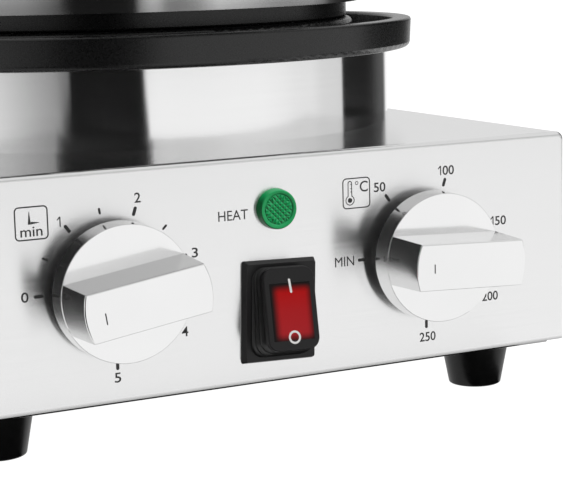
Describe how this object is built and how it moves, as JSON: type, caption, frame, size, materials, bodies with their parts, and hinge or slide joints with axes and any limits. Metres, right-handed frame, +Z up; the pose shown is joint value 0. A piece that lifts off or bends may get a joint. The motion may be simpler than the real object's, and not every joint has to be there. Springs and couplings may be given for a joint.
{
  "type": "waffle maker",
  "caption": "Round countertop waffle maker with a hinged steel lid, cast waffle plates over a drip channel, dials, rocker switch and pilot lamp on the front",
  "frame": {"origin": "on the surface it stands on, under the axis of the round baking plates", "axes": "+X to the right as seen from the front, +Y to the back, +Z up"},
  "size_m": [0.2726, 0.402, 0.213],
  "materials": {
    "brushed_stainless": "satin brushed stainless sheet",
    "cast_plate": "dark cast plate with fine-grained dull coating",
    "black_plastic": "black moulded heat-resistant plastic",
    "foot_rubber": "black moulded rubber",
    "black_rubber": "soft black rubber",
    "green_lens": "clear green plastic",
    "red_window": "translucent red plastic",
    "zinc_steel": "zinc-plated steel",
    "polished_steel": "polished stainless",
    "spring_steel": "bare spring steel",
    "cast_aluminium": "bead-blasted cast aluminium",
    "knob_metal": "turned and milled aluminium, finely polished",
    "brass_bush": "plain turned brass",
    "copper_tube": "drawn copper",
    "dull_tube": "dull heat-darkened steel tube",
    "mineral_wool": "pressed mineral wool",
    "white_ceramic": "glazed white ceramic"
  },
  "bodies": {
    "base": {"base_shell": "brushed_stainless", "bottom_plate": "zinc_steel", "bottom_screws": "zinc_steel", "foot_front_left": "foot_rubber", "foot_front_right": "foot_rubber", "foot_rear_left": "foot_rubber", "foot_rear_right": "foot_rubber", "foot_bolts": "zinc_steel", "drum_shell": "brushed_stainless", "drum_screws": "zinc_steel", "lower_plate": "cast_plate", "lower_heating_element": "dull_tube", "lower_element_clamp": "zinc_steel", "lower_insulation": "mineral_wool", "lower_plate_studs": "zinc_steel", "lower_plate_nuts": "zinc_steel", "hinge_bracket": "brushed_stainless", "bracket_bolts": "zinc_steel", "base_grommet": "black_rubber", "hinge_pin": "zinc_steel", "pin_clips": "spring_steel", "lid_stop_rod": "zinc_steel", "hinge_spring_left": "spring_steel", "hinge_spring_right": "spring_steel", "timer_body": "zinc_steel", "thermostat_body": "zinc_steel", "control_screws": "zinc_steel", "sensor_bulb": "copper_tube", "lamp_lens": "green_lens", "lamp_holder": "black_plastic", "lamp_nut": "black_plastic", "switch_frame": "black_plastic", "switch_body": "black_plastic", "switch_boot": "black_rubber", "terminal_block": "white_ceramic", "cable_gland": "black_plastic", "gland_cap": "black_plastic", "gland_locknut": "black_plastic"},
    "lid": {"upper_plate": "cast_plate", "upper_heating_element": "dull_tube", "upper_element_clamp": "zinc_steel", "upper_insulation": "mineral_wool", "upper_plate_studs": "zinc_steel", "upper_plate_nuts": "zinc_steel", "lid_cap_nuts": "polished_steel", "lid_shell": "brushed_stainless", "hinge_arm": "cast_aluminium", "hinge_arm_bolts": "zinc_steel", "lid_grommet": "black_rubber", "hinge_bushes": "brass_bush", "handle_rod": "polished_steel", "handle_grip": "black_plastic", "handle_spacers": "black_plastic", "handle_nuts": "zinc_steel"},
    "timer_dial": {"timer_knob": "knob_metal", "timer_shaft": "zinc_steel"},
    "thermostat_dial": {"thermostat_knob": "knob_metal", "thermostat_shaft": "zinc_steel"},
    "rocker": {"switch_rocker": "black_rubber", "switch_window": "red_window"}
  },
  "joints": [
    {"name": "lid_hinge", "type": "hinge", "parent": "base", "child": "lid", "pos_m": [0, 0.155, 0.16215], "axis": [-1, 0, 0], "range_deg": [0, 100]},
    {"name": "timer_turn", "type": "hinge", "parent": "base", "child": "timer_dial", "pos_m": [-0.0651, -0.1671, 0.0623], "axis": [0, 1, 0], "range_deg": [0, 278]},
    {"name": "thermostat_turn", "type": "hinge", "parent": "base", "child": "thermostat_dial", "pos_m": [0.0651, -0.1671, 0.0623], "axis": [0, 1, 0], "range_deg": [-2.7, 267.3]},
    {"name": "rocker_press", "type": "hinge", "parent": "base", "child": "rocker", "pos_m": [0, -0.1679, 0.0468], "axis": [0.9994, 0, -0.0349], "range_deg": [0, 26.7]}
  ]
}
